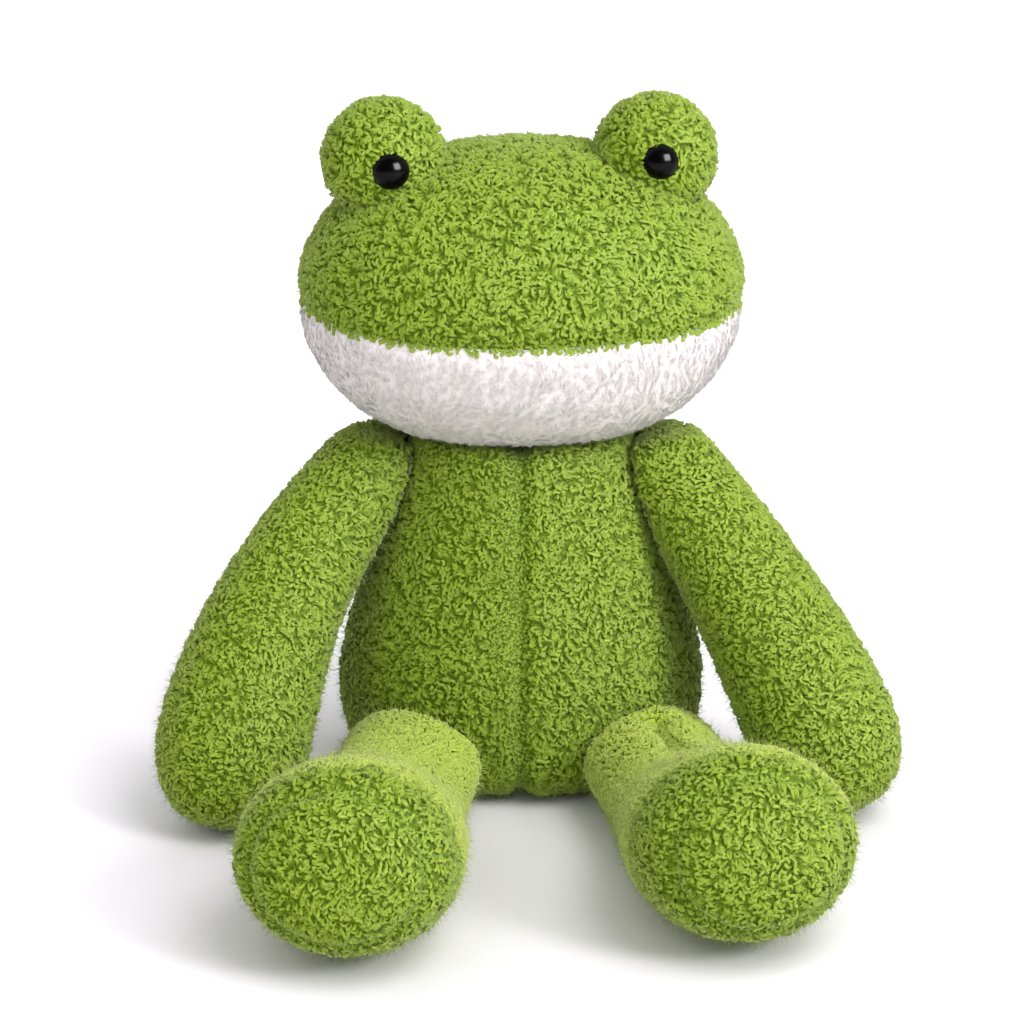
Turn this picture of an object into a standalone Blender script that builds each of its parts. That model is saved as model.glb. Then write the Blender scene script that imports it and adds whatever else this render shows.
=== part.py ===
"""A plush frog that sits with its legs stretched forward.

Lengths are in metres. The frog faces -Y, +Z is up, and the floor that it sits on is z = 0.
The origin is the middle of the base panel under the body. Left and right are the frog's own,
so its left side is at +X. Covers are shells of plush fabric. Each is filled with stuffing
that follows the same form, one fabric thickness further in.
"""

import math

import bmesh
import bpy
from mathutils import Matrix, Vector

# Fabric and clearances
PILE_FABRIC = 0.005
SEAM_GAP = 0.0003
STUFFING_GAP = 0.0006
PASSING_GAP = 0.001
FLOOR_FLAT = 0.0005
CUTTER_OVERRUN = 0.03

# Head
HEAD_WIDTH = 0.163
HEAD_DEPTH = 0.129
HEAD_HEIGHT = 0.114
HEAD_FULLNESS_SHARE = 1.12
HEAD_CENTRE_HEIGHT = 0.177
HEAD_TURN = math.radians(5)
NECK_HEIGHT = 0.128
MOUTH_HEIGHT = 0.1795
MOUTH_DIP = 0.007
CHEEK_SEAM_BACK = 0.030
CHEEK_SEAM_RADIUS = 0.020

# Eyes
RIGHT_EYE_OUT = 0.0489
LEFT_EYE_OUT = 0.0469
EYE_DOME_SIZE = 0.046
EYE_DOME_HEIGHT = 0.228
EYE_DOME_FORWARD = 0.006
EYE_TOE_IN = math.radians(2)
RIGHT_EYE_LIFT = 0.0
LEFT_EYE_LIFT = math.radians(4)
BEAD_DIAMETER = 0.012
BEAD_DOME_HEIGHT = 0.0055
BEAD_RIM = 0.0008
BEAD_SINK = 0.0035
SHANK_DIAMETER = 0.004
SHANK_LENGTH = 0.011
SHANK_CLEARANCE = 0.0003
WASHER_DIAMETER = 0.0105
WASHER_THICKNESS = 0.002

# Body
BODY_WIDTH = 0.139
BODY_DEPTH = 0.122
BASE_WIDTH = 0.070
BASE_DEPTH = 0.060
POUCH_WIDTH = 0.078
POUCH_DEPTH = 0.068
POUCH_HEIGHT = 0.027
POUCH_FLAT = 0.002
BODY_HEIGHT_SHARES = (0.0, 0.0, 0.06, 0.17, 0.33, 0.55, 0.80, 1.02, 1.14)
BODY_SIZE_SHARES = (0.42, 0.76, 0.92, 0.99, 1.0, 0.885, 0.72, 0.585, 0.42)

# Arms, each from its shoulder seam to the middle of its hand
SHOULDER_OUT = 0.044
SHOULDER_BACK = 0.001
SHOULDER_HEIGHT = 0.124
SHOULDER_WIDTH = 0.037
HAND_WIDTH = 0.061
RIGHT_ARM_BOW = 0.009
LEFT_ARM_BOW = 0.002
ARM_BOW_UP = 0.005
RIGHT_HAND_OUT = 0.102
RIGHT_HAND_FORWARD = 0.068
LEFT_HAND_OUT = 0.108
LEFT_HAND_FORWARD = 0.055
ARM_ALONG_SHARES = (-0.30, 0.0, 0.28, 0.56, 0.80, 1.0)
ARM_SIZE_SHARES = (0.0, 0.12, 0.33, 0.57, 0.86, 1.0)
ARM_DEPTH_SHARE = 0.92
HAND_END_REACH_SHARES = (0.55, 0.95)
HAND_END_SIZE_SHARES = (0.86, 0.50)
ARM_LIFT = math.radians(45)
ARM_PIVOT_HEIGHT = 0.140
ARM_PIVOT_OUT = 0.052

# Legs, each from its hip to the middle of its foot
LEG_WIDTH = 0.056
LEG_HEIGHT = 0.040
FOOT_WIDTH = 0.083
FOOT_HEIGHT = 0.073
FOOT_LENGTH = 0.074
RIGHT_HIP_OUT = 0.036
RIGHT_FOOT_OUT = 0.056
RIGHT_FOOT_FORWARD = 0.185
LEFT_HIP_OUT = 0.042
LEFT_FOOT_OUT = 0.0715
LEFT_FOOT_FORWARD = 0.173
HIP_FORWARD = 0.030
LEG_ALONG_SHARES = (0.0, 0.22, 0.44, 0.64, 0.80, 1.0)
LEG_SIZE_SHARES = (0.0, 0.0, 0.0, 0.22, 0.68, 1.0)
FOOT_END_REACH_SHARES = (0.55, 0.88, 0.97)
FOOT_END_SIZE_SHARES = (0.90, 0.62, 0.30)
FOOT_TIP_SHARE = 0.98
SOLE_TILT = math.radians(10)
SOLE_FORWARD = 0.024
LEG_PIVOT_HEIGHT = 0.045
LEG_PIVOT_FORWARD = 0.048

RIGHT, LEFT = -1, 1
SIDE_NAMES = {RIGHT: "right", LEFT: "left"}
ARM_SIDES = 8
LEG_SIDES = 8
BODY_SIDES = 10
BALL_SIDES = 3
TURNED_STEPS = 24
ARC_STEPS = 6
LIFT_STEPS = 3
SPINE_STEP_SHARE = 0.02

COLOURS = {
    "green_plush": ((0.20, 0.32, 0.035), 0.95),
    "white_plush": ((0.80, 0.77, 0.74), 0.95),
    "eye_black": ((0.01, 0.01, 0.01), 0.12),
    "washer_plastic": ((0.75, 0.75, 0.72), 0.5),
    "fibre_filling": ((0.88, 0.88, 0.86), 1.0),
    "pellet_pouch": ((0.70, 0.68, 0.62), 0.9),
}

parts = None
cutters = None


def clear_scene():
    for obj in list(bpy.data.objects):
        bpy.data.objects.remove(obj, do_unlink=True)


def new_collection(name):
    collection = bpy.data.collections.new(name)
    bpy.context.scene.collection.children.link(collection)
    return collection


def make_material(name):
    colour, roughness = COLOURS[name]
    material = bpy.data.materials.new(name)
    material.use_nodes = True
    shader = material.node_tree.nodes["Principled BSDF"]
    shader.inputs["Base Color"].default_value = (*colour, 1)
    shader.inputs["Roughness"].default_value = roughness
    shader.inputs["Metallic"].default_value = 0
    material.diffuse_color = (*colour, 1)
    return material


def object_from(name, bm):
    """Makes a smooth-shaded object of the parts collection from a bmesh."""
    bmesh.ops.recalc_face_normals(bm, faces=bm.faces)
    mesh = bpy.data.meshes.new(name)
    bm.to_mesh(mesh)
    bm.free()
    mesh.shade_smooth()
    obj = bpy.data.objects.new(name, mesh)
    parts.objects.link(obj)
    return obj


def as_cutter(obj):
    parts.objects.unlink(obj)
    cutters.objects.link(obj)
    obj.hide_render = True
    obj.display_type = "WIRE"
    return obj


def cage_growth(step):
    """How much a ring of points this far apart is enlarged, so that subdividing it brings it back to size."""
    return 1 / (0.75 + 0.25 * math.cos(step))


def soften(obj):
    subdivision = obj.modifiers.new("soft", "SUBSURF")
    subdivision.levels = 1
    subdivision.render_levels = 1


def swell(obj, distance):
    """Moves the surface outwards, or inwards where the distance is negative."""
    move = obj.modifiers.new("swell", "DISPLACE")
    move.strength = distance
    move.mid_level = 0


def make_shell(obj):
    wall = obj.modifiers.new("fabric", "SOLIDIFY")
    wall.thickness = PILE_FABRIC
    wall.offset = -1


def cut(obj, cutter, operation="DIFFERENCE"):
    boolean = obj.modifiers.new(cutter.name, "BOOLEAN")
    boolean.operation = operation
    boolean.object = cutter
    boolean.solver = "EXACT"


def loft(name, rings, sides, start, end):
    """A closed form from the start point, through rings of a centre and two half axes, to the end point."""
    bm = bmesh.new()
    loops = []
    for centre, across, up in rings:
        loop = []
        for side in range(sides):
            angle = 2 * math.pi * side / sides
            loop.append(bm.verts.new(centre + across * math.cos(angle) + up * math.sin(angle)))
        loops.append(loop)
    for first, second in zip(loops, loops[1:]):
        for side in range(sides):
            after = (side + 1) % sides
            bm.faces.new((first[side], first[after], second[after], second[side]))
    for point, loop in ((start, loops[0]), (end, loops[-1])):
        pole = bm.verts.new(point)
        for side in range(sides):
            bm.faces.new((pole, loop[side], loop[(side + 1) % sides]))
    return object_from(name, bm)


def ball(name, size, centre, turn=0.0, fullness=1.0):
    """A closed form of these three diameters, from a subdivided cube. At a fullness of 1 it is an ellipsoid."""
    bm = bmesh.new()
    bmesh.ops.create_cube(bm, size=1)
    bmesh.ops.subdivide_edges(bm, edges=bm.edges[:], cuts=BALL_SIDES - 1, use_grid_fill=True)
    growth = cage_growth(math.pi / 2 / BALL_SIDES) ** 2
    power = 2 * fullness
    for vertex in bm.verts:
        direction = [math.tan(math.pi / 2 * coordinate) for coordinate in vertex.co]
        length = sum(abs(coordinate) ** power for coordinate in direction) ** (1 / power)
        vertex.co = Vector(direction) / length
    half = Matrix.Diagonal(Vector(size) * growth / 2).to_4x4()
    place = Matrix.Translation(centre) @ Matrix.Rotation(turn, 4, "Z")
    bmesh.ops.transform(bm, matrix=place @ half, verts=bm.verts)
    obj = object_from(name, bm)
    soften(obj)
    return obj


def block(name, low, high):
    bm = bmesh.new()
    bmesh.ops.create_cube(bm, size=1)
    size = Matrix.Diagonal(Vector(high) - Vector(low)).to_4x4()
    place = Matrix.Translation((Vector(low) + Vector(high)) / 2)
    bmesh.ops.transform(bm, matrix=place @ size, verts=bm.verts)
    return as_cutter(object_from(name, bm))


def turned(name, profile, matrix):
    """A turned solid about its own Z, from a profile that runs down its outer side. A ring's profile is closed."""
    bm = bmesh.new()
    points = [bm.verts.new((radius, 0, height)) for radius, height in profile]
    for first, second in zip(points, points[1:]):
        bm.edges.new((first, second))
    if profile[0][0] > 0:
        bm.edges.new((points[-1], points[0]))
    mesh = bpy.data.meshes.new(name)
    bm.to_mesh(mesh)
    bm.free()
    obj = bpy.data.objects.new(name, mesh)
    obj.matrix_world = matrix
    parts.objects.link(obj)
    screw = obj.modifiers.new("turn", "SCREW")
    screw.axis = "Z"
    screw.steps = TURNED_STEPS
    screw.render_steps = TURNED_STEPS
    screw.use_merge_vertices = True
    screw.merge_threshold = 0.00001
    return obj


# Head


def head_form(name):
    size = (HEAD_WIDTH, HEAD_DEPTH, HEAD_HEIGHT)
    return ball(name, size, (0, 0, HEAD_CENTRE_HEIGHT), HEAD_TURN, HEAD_FULLNESS_SHARE)


def neck_cutter():
    """Everything below the neck seam."""
    reach = HEAD_WIDTH
    return block("below_neck", (-reach, -reach, -reach), (reach, reach, NECK_HEIGHT + SEAM_GAP / 2))


def muzzle_cutter(name, gap):
    """The space in front of the cheek seams and below the mouth seam, as a prism across the head."""
    top = MOUTH_HEIGHT + gap
    back = CHEEK_SEAM_BACK + gap
    radius = CHEEK_SEAM_RADIUS
    front = -HEAD_DEPTH / 2 - CUTTER_OVERRUN
    bottom = NECK_HEIGHT - CUTTER_OVERRUN
    outline = [(front, bottom), (front, top - MOUTH_DIP * -front / (HEAD_DEPTH / 2))]
    for step in range(ARC_STEPS + 1):
        angle = math.pi / 2 * (1 - step / ARC_STEPS)
        outline.append((back - radius + radius * math.cos(angle), top - radius + radius * math.sin(angle)))
    outline.append((back, bottom))
    reach = HEAD_WIDTH / 2 + CUTTER_OVERRUN
    bm = bmesh.new()
    face = bm.faces.new([bm.verts.new((-reach, y, z)) for y, z in outline])
    pushed = bmesh.ops.extrude_face_region(bm, geom=[face])["geom"]
    moved = [item for item in pushed if isinstance(item, bmesh.types.BMVert)]
    bmesh.ops.translate(bm, verts=moved, vec=(2 * reach, 0, 0))
    bmesh.ops.rotate(bm, verts=bm.verts, matrix=Matrix.Rotation(HEAD_TURN, 3, "Z"))
    return as_cutter(object_from(name, bm))


def build_head(material_of):
    below = neck_cutter()
    crown = head_form("head_crown")
    make_shell(crown)
    cut(crown, below)
    cut(crown, muzzle_cutter("muzzle_space", SEAM_GAP))
    muzzle = head_form("head_muzzle")
    make_shell(muzzle)
    cut(muzzle, below)
    cut(muzzle, muzzle_cutter("muzzle_region", 0), "INTERSECT")
    stuffing = head_form("head_stuffing")
    swell(stuffing, -PILE_FABRIC - STUFFING_GAP)
    cut(stuffing, below)
    material_of[crown] = "green_plush"
    material_of[muzzle] = "white_plush"
    material_of[stuffing] = "fibre_filling"
    return [crown, muzzle, stuffing]


# Eyes


def eye_centre(side):
    out = {RIGHT: RIGHT_EYE_OUT, LEFT: LEFT_EYE_OUT}[side]
    offset = Vector((side * out, -EYE_DOME_FORWARD, EYE_DOME_HEIGHT))
    return Matrix.Rotation(HEAD_TURN, 3, "Z") @ offset


def bead_matrix(side):
    """The bead's own frame: z points out of the dome, and z = 0 is the bead's flat back."""
    turn = HEAD_TURN - side * EYE_TOE_IN
    lift = {RIGHT: RIGHT_EYE_LIFT, LEFT: LEFT_EYE_LIFT}[side]
    forward = Matrix.Rotation(turn, 4, "Z") @ Matrix.Rotation(math.pi / 2 - lift, 4, "X")
    back = Matrix.Translation((0, 0, EYE_DOME_SIZE / 2 - BEAD_SINK))
    return Matrix.Translation(eye_centre(side)) @ forward @ back


def rod(name, radius, low, high, matrix):
    profile = [(0, high), (radius, high), (radius, low), (0, low)]
    return as_cutter(turned(name, profile, matrix))


def eye_bead(side):
    radius = BEAD_DIAMETER / 2
    rise = BEAD_DOME_HEIGHT - BEAD_RIM
    profile = []
    for step in range(ARC_STEPS + 1):
        angle = math.pi / 2 * (1 - step / ARC_STEPS)
        profile.append((radius * math.cos(angle), BEAD_RIM + rise * math.sin(angle)))
    profile[0] = (0, BEAD_DOME_HEIGHT)
    profile += [(radius, 0), (SHANK_DIAMETER / 2, 0), (SHANK_DIAMETER / 2, -SHANK_LENGTH), (0, -SHANK_LENGTH)]
    return turned("eye_bead_" + SIDE_NAMES[side], profile, bead_matrix(side))


def washer_top():
    """How far behind the bead's back the washer lies: its rim bears on the inner side of the dome's fabric."""
    inner = EYE_DOME_SIZE / 2 - PILE_FABRIC
    rim_drop = inner - math.sqrt(inner**2 - (WASHER_DIAMETER / 2) ** 2)
    return -(PILE_FABRIC - BEAD_SINK) - rim_drop - 2 * STUFFING_GAP


def eye_washer(side):
    hole = SHANK_DIAMETER / 2 + SHANK_CLEARANCE
    outer = WASHER_DIAMETER / 2
    top = washer_top()
    bottom = top - WASHER_THICKNESS
    profile = [(hole, top), (outer, top), (outer, bottom), (hole, bottom)]
    return turned("eye_washer_" + SIDE_NAMES[side], profile, bead_matrix(side))


def build_eye(side, head_cutter, material_of):
    name = SIDE_NAMES[side]
    size = (EYE_DOME_SIZE, EYE_DOME_SIZE, EYE_DOME_SIZE)
    matrix = bead_matrix(side)
    dome = ball("eye_dome_" + name, size, eye_centre(side), HEAD_TURN)
    make_shell(dome)
    cut(dome, head_cutter)
    seat = rod("bead_seat_" + name, BEAD_DIAMETER / 2 + SHANK_CLEARANCE, -SEAM_GAP, CUTTER_OVERRUN, matrix)
    hole = rod("shank_hole_" + name, SHANK_DIAMETER / 2 + SHANK_CLEARANCE, -SHANK_LENGTH, CUTTER_OVERRUN, matrix)
    cut(dome, seat)
    cut(dome, hole)
    stuffing = ball("eye_dome_stuffing_" + name, size, eye_centre(side), HEAD_TURN)
    swell(stuffing, -PILE_FABRIC - STUFFING_GAP)
    cut(stuffing, head_cutter)
    pocket_bottom = washer_top() - WASHER_THICKNESS - SEAM_GAP
    pocket = rod(
        "washer_pocket_" + name, WASHER_DIAMETER / 2 + SHANK_CLEARANCE, pocket_bottom, CUTTER_OVERRUN, matrix
    )
    shank_bottom = -SHANK_LENGTH - SEAM_GAP
    bore = rod(
        "shank_bore_" + name, SHANK_DIAMETER / 2 + SHANK_CLEARANCE, shank_bottom, CUTTER_OVERRUN, matrix
    )
    cut(stuffing, pocket)
    cut(stuffing, bore)
    bead = eye_bead(side)
    washer = eye_washer(side)
    material_of[dome] = "green_plush"
    material_of[stuffing] = "fibre_filling"
    material_of[bead] = "eye_black"
    material_of[washer] = "washer_plastic"
    return [dome, stuffing, bead, washer]


# Body


def body_form(name):
    growth = cage_growth(2 * math.pi / BODY_SIDES)
    rings = []
    for height, size in zip(BODY_HEIGHT_SHARES, BODY_SIZE_SHARES):
        centre = Vector((0, 0, NECK_HEIGHT * height - FLOOR_FLAT))
        across = Vector((BODY_WIDTH / 2 * size * growth, 0, 0))
        deep = Vector((0, BODY_DEPTH / 2 * size * growth, 0))
        rings.append((centre, across, deep))
    form = loft(name, rings, BODY_SIDES, rings[0][0], rings[-1][0])
    soften(form)
    return form


def half_cutter(name, side, gap):
    """Everything on one side of the middle, and past it by this much."""
    reach = BODY_WIDTH + NECK_HEIGHT
    edge = -side * gap
    low = (min(side * reach, edge), -reach, -reach)
    high = (max(side * reach, edge), reach, reach)
    return block(name, low, high)


def base_plug(name, gap):
    """An upright oval plug through the bottom of the body, where the base panel is."""
    bm = bmesh.new()
    bmesh.ops.create_cone(
        bm, cap_ends=True, segments=TURNED_STEPS, radius1=1, radius2=1, depth=2, matrix=Matrix.Identity(4)
    )
    size = Matrix.Diagonal((BASE_WIDTH / 2 + gap, BASE_DEPTH / 2 + gap, PILE_FABRIC + SEAM_GAP)).to_4x4()
    bmesh.ops.transform(bm, matrix=size, verts=bm.verts)
    return as_cutter(object_from(name, bm))


def build_body(material_of):
    reach = BODY_WIDTH + NECK_HEIGHT
    above = block("above_neck", (-reach, -reach, NECK_HEIGHT - SEAM_GAP / 2), (reach, reach, reach))
    floor_reach = RIGHT_FOOT_FORWARD + FOOT_LENGTH + HAND_WIDTH
    floor = block("floor", (-floor_reach, -floor_reach, -floor_reach), (floor_reach, floor_reach, 0))
    around_base = base_plug("around_base_panel", SEAM_GAP)
    pieces = []
    for side in (LEFT, RIGHT):
        panel = body_form("body_panel_" + SIDE_NAMES[side])
        make_shell(panel)
        cut(panel, above)
        cut(panel, floor)
        cut(panel, half_cutter("other_half_" + SIDE_NAMES[side], -side, SEAM_GAP / 2))
        cut(panel, around_base)
        material_of[panel] = "green_plush"
        pieces.append(panel)
    base = body_form("seat_panel")
    make_shell(base)
    cut(base, floor)
    cut(base, base_plug("base_panel", 0), "INTERSECT")
    material_of[base] = "green_plush"
    inner_floor = PILE_FABRIC - FLOOR_FLAT + SEAM_GAP
    size = (POUCH_WIDTH, POUCH_DEPTH, POUCH_HEIGHT)
    centre = (0, 0, inner_floor + POUCH_HEIGHT / 2 - POUCH_FLAT)
    pouch = ball("seat_pouch", size, centre)
    cut(pouch, block("under_pouch", (-reach, -reach, -reach), (reach, reach, inner_floor)))
    material_of[pouch] = "pellet_pouch"
    pouch_space = as_cutter(ball("pouch_space", size, centre))
    swell(pouch_space, SEAM_GAP)
    stuffing = body_form("body_stuffing")
    swell(stuffing, -PILE_FABRIC - STUFFING_GAP)
    cut(stuffing, above)
    cut(stuffing, pouch_space)
    material_of[stuffing] = "fibre_filling"
    return pieces + [base, pouch, stuffing], floor


# Limbs


def ring_frame(direction):
    """Two axes square to a limb's direction: one level, and one that completes them."""
    level = direction.cross(Vector((0, 0, 1))).normalized()
    return level, level.cross(direction).normalized()


def between(low, high, share):
    return low + (high - low) * share


def arm_form(name, side):
    out, forward, bow_out = {
        RIGHT: (RIGHT_HAND_OUT, RIGHT_HAND_FORWARD, RIGHT_ARM_BOW),
        LEFT: (LEFT_HAND_OUT, LEFT_HAND_FORWARD, LEFT_ARM_BOW),
    }[side]
    shoulder = Vector((side * SHOULDER_OUT, SHOULDER_BACK, SHOULDER_HEIGHT))
    hand = Vector((side * out, -forward, HAND_WIDTH / 2 - FLOOR_FLAT))
    bow = Vector((side * bow_out, 0, ARM_BOW_UP))
    growth = cage_growth(2 * math.pi / ARM_SIDES)

    def spine(share):
        return between(shoulder, hand, share) + bow * 4 * share * (1 - share)

    rings = []
    for share, size_share in zip(ARM_ALONG_SHARES, ARM_SIZE_SHARES):
        direction = (spine(share + SPINE_STEP_SHARE) - spine(share - SPINE_STEP_SHARE)).normalized()
        level, upright = ring_frame(direction)
        half = between(SHOULDER_WIDTH, HAND_WIDTH, size_share) / 2 * growth
        rings.append((spine(share), level * half, upright * half * ARM_DEPTH_SHARE))
    tip_direction = (spine(1) - spine(1 - SPINE_STEP_SHARE)).normalized()
    half = HAND_WIDTH / 2
    level, upright = rings[-1][1].normalized(), rings[-1][2].normalized()
    for reach_share, size_share in zip(HAND_END_REACH_SHARES, HAND_END_SIZE_SHARES):
        centre = hand + tip_direction * half * reach_share
        size = half * growth * size_share
        rings.append((centre, level * size, upright * size * ARM_DEPTH_SHARE))
    tip = hand + tip_direction * half
    form = loft(name, rings, ARM_SIDES, rings[0][0], tip)
    soften(form)
    return form


def leg_places(side):
    hip_out, foot_out, foot_forward = {
        RIGHT: (RIGHT_HIP_OUT, RIGHT_FOOT_OUT, RIGHT_FOOT_FORWARD),
        LEFT: (LEFT_HIP_OUT, LEFT_FOOT_OUT, LEFT_FOOT_FORWARD),
    }[side]
    hip = Vector((side * hip_out, -HIP_FORWARD, 0))
    foot = Vector((side * foot_out, -foot_forward, 0))
    return hip, foot


def leg_form(name, side):
    hip, foot = leg_places(side)
    growth = cage_growth(2 * math.pi / LEG_SIDES)
    direction = (foot - hip).normalized()
    level = direction.cross(Vector((0, 0, 1))).normalized()
    rings = []
    for share, size_share in zip(LEG_ALONG_SHARES, LEG_SIZE_SHARES):
        half_height = between(LEG_HEIGHT, FOOT_HEIGHT, size_share) / 2
        half_width = between(LEG_WIDTH, FOOT_WIDTH, size_share) / 2
        centre = between(hip, foot, share) + Vector((0, 0, half_height - FLOOR_FLAT))
        rings.append((centre, level * half_width * growth, Vector((0, 0, half_height * growth))))
    middle = rings[-1][0]
    sole = direction * math.cos(SOLE_TILT) + Vector((0, 0, math.sin(SOLE_TILT)))
    upright = level.cross(sole).normalized()
    for reach_share, size_share in zip(FOOT_END_REACH_SHARES, FOOT_END_SIZE_SHARES):
        centre = middle + sole * FOOT_LENGTH / 2 * reach_share
        across = level * FOOT_WIDTH / 2 * growth * size_share
        high = upright * FOOT_HEIGHT / 2 * growth * size_share
        rings.append((centre, across, high))
    tip = middle + sole * FOOT_LENGTH / 2 * FOOT_TIP_SHARE
    form = loft(name, rings, LEG_SIDES, rings[0][0], tip)
    soften(form)
    return form


def sole_cutter(name, side, gap):
    """Everything in front of the seam of the sole panel."""
    hip, foot = leg_places(side)
    reach = FOOT_WIDTH
    direction = foot - hip
    turn = math.atan2(direction.x, -direction.y)
    bm = bmesh.new()
    bmesh.ops.create_cube(bm, size=1)
    size = Matrix.Diagonal((reach, reach, reach)).to_4x4()
    ahead = Matrix.Translation((0, -SOLE_FORWARD - gap - reach / 2, 0))
    tilt = Matrix.Rotation(-SOLE_TILT, 4, "X")
    place = Matrix.Translation(foot + Vector((0, 0, FOOT_HEIGHT / 2)))
    matrix = place @ Matrix.Rotation(turn, 4, "Z") @ tilt @ ahead @ size
    bmesh.ops.transform(bm, matrix=matrix, verts=bm.verts)
    return as_cutter(object_from(name, bm))


def shoulder_pivot(side):
    return Vector((side * ARM_PIVOT_OUT, 0, ARM_PIVOT_HEIGHT))


def head_sweep(side):
    """A hull round the space that the turning head takes, as the arm meets it at steps of its lift."""
    name = SIDE_NAMES[side]
    size = (HEAD_WIDTH, HEAD_WIDTH, HEAD_HEIGHT)
    head = as_cutter(ball("turning_head_" + name, size, (0, 0, HEAD_CENTRE_HEIGHT), fullness=HEAD_FULLNESS_SHARE))
    swell(head, PASSING_GAP)
    bpy.context.view_layer.update()
    mesh = bpy.data.meshes.new_from_object(head.evaluated_get(bpy.context.evaluated_depsgraph_get()))
    pivot = Matrix.Translation(shoulder_pivot(side))
    bm = bmesh.new()
    for step in range(LIFT_STEPS + 1):
        lift = pivot @ Matrix.Rotation(side * ARM_LIFT * step / LIFT_STEPS, 4, "Y") @ pivot.inverted()
        for vertex in mesh.vertices:
            bm.verts.new(lift @ vertex.co)
    hull = bmesh.ops.convex_hull(bm, input=bm.verts)
    inner = {item for item in hull["geom_interior"] + hull["geom_unused"] if isinstance(item, bmesh.types.BMVert)}
    bmesh.ops.delete(bm, geom=list(inner), context="VERTS")
    bpy.data.meshes.remove(mesh)
    return as_cutter(object_from("head_sweep_" + name, bm))


def build_arm(side, body_cutter, floor, material_of):
    name = SIDE_NAMES[side]
    sweep = head_sweep(side)
    cover = arm_form("arm_cover_" + name, side)
    make_shell(cover)
    stuffing = arm_form("arm_stuffing_" + name, side)
    swell(stuffing, -PILE_FABRIC - STUFFING_GAP)
    for piece in (cover, stuffing):
        cut(piece, body_cutter)
        cut(piece, sweep)
    cut(cover, floor)
    material_of[cover] = "green_plush"
    material_of[stuffing] = "fibre_filling"
    return [cover, stuffing]


def build_leg(side, body_cutter, floor, material_of):
    name = SIDE_NAMES[side]
    cover = leg_form("leg_cover_" + name, side)
    make_shell(cover)
    cut(cover, body_cutter)
    cut(cover, floor)
    cut(cover, sole_cutter("ahead_of_leg_" + name, side, 0))
    sole = leg_form("sole_panel_" + name, side)
    make_shell(sole)
    cut(sole, floor)
    cut(sole, sole_cutter("sole_region_" + name, side, SEAM_GAP), "INTERSECT")
    stuffing = leg_form("leg_stuffing_" + name, side)
    swell(stuffing, -PILE_FABRIC - STUFFING_GAP)
    cut(stuffing, body_cutter)
    material_of[cover] = "green_plush"
    material_of[sole] = "green_plush"
    material_of[stuffing] = "fibre_filling"
    return [cover, sole, stuffing]


def add_pivot(name, place, pieces):
    """An empty on a joint's axis, which carries the pieces that move about it."""
    pivot = bpy.data.objects.new(name, None)
    pivot.location = place
    pivot.empty_display_size = HAND_WIDTH / 2
    parts.objects.link(pivot)
    bpy.context.view_layer.update()
    for piece in pieces:
        piece.parent = pivot
        piece.matrix_parent_inverse = pivot.matrix_world.inverted()


def main():
    global parts, cutters
    clear_scene()
    parts = new_collection("plush_frog")
    cutters = new_collection("cutters")
    material_of = {}
    body_pieces, floor = build_body(material_of)
    body_cutter = as_cutter(body_form("body_space"))
    swell(body_cutter, SEAM_GAP)
    head_cutter = as_cutter(head_form("head_space"))
    swell(head_cutter, SEAM_GAP)
    head_pieces = build_head(material_of)
    for side in (LEFT, RIGHT):
        head_pieces += build_eye(side, head_cutter, material_of)
    add_pivot("body", (0, 0, 0), body_pieces)
    add_pivot("neck_joint", (0, 0, NECK_HEIGHT), head_pieces)
    for side in (LEFT, RIGHT):
        name = SIDE_NAMES[side]
        arm = build_arm(side, body_cutter, floor, material_of)
        add_pivot("shoulder_joint_" + name, shoulder_pivot(side), arm)
        leg = build_leg(side, body_cutter, floor, material_of)
        hip_out = leg_places(side)[0].x
        add_pivot("hip_joint_" + name, (hip_out, -LEG_PIVOT_FORWARD, LEG_PIVOT_HEIGHT), leg)
    for obj, material in material_of.items():
        obj.data.materials.append(make_material(material))
        obj.data.materials[0].name = obj.name + "_" + material
    cutters.hide_render = True


main()
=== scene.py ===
"""The looks of the plush frog: covers of looped pile over smooth stuffed forms, glossy eyes and studio light.

Lengths are in metres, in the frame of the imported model: the frog faces -Y and sits on z = 0.
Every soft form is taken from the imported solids, so it lies where they lie.
"""

import math

import bmesh
import bpy
import numpy as np
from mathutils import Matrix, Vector
from mathutils import noise
from mathutils.bvhtree import BVHTree
from mathutils.kdtree import KDTree


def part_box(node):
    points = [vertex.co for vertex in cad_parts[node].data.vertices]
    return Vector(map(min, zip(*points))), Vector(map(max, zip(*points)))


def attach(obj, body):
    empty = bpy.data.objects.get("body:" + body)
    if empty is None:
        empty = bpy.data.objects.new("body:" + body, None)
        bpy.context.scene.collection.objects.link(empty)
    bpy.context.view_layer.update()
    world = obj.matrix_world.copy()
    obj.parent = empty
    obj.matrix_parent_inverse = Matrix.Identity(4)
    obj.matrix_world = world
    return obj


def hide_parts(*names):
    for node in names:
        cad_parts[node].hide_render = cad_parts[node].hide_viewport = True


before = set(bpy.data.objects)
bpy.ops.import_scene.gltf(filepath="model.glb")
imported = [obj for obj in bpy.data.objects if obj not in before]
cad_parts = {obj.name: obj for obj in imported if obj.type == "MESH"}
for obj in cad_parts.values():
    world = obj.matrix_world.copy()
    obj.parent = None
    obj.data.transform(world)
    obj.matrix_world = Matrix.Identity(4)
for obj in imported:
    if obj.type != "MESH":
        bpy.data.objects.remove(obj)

# Blender starts its noise vectors from the clock, so a fixed start makes each run the same
NOISE_START = 7
noise.seed_set(NOISE_START)

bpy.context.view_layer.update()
SIDES = ("left", "right")
DOWN = np.array((0.0, 0.0, -1.0))

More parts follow.
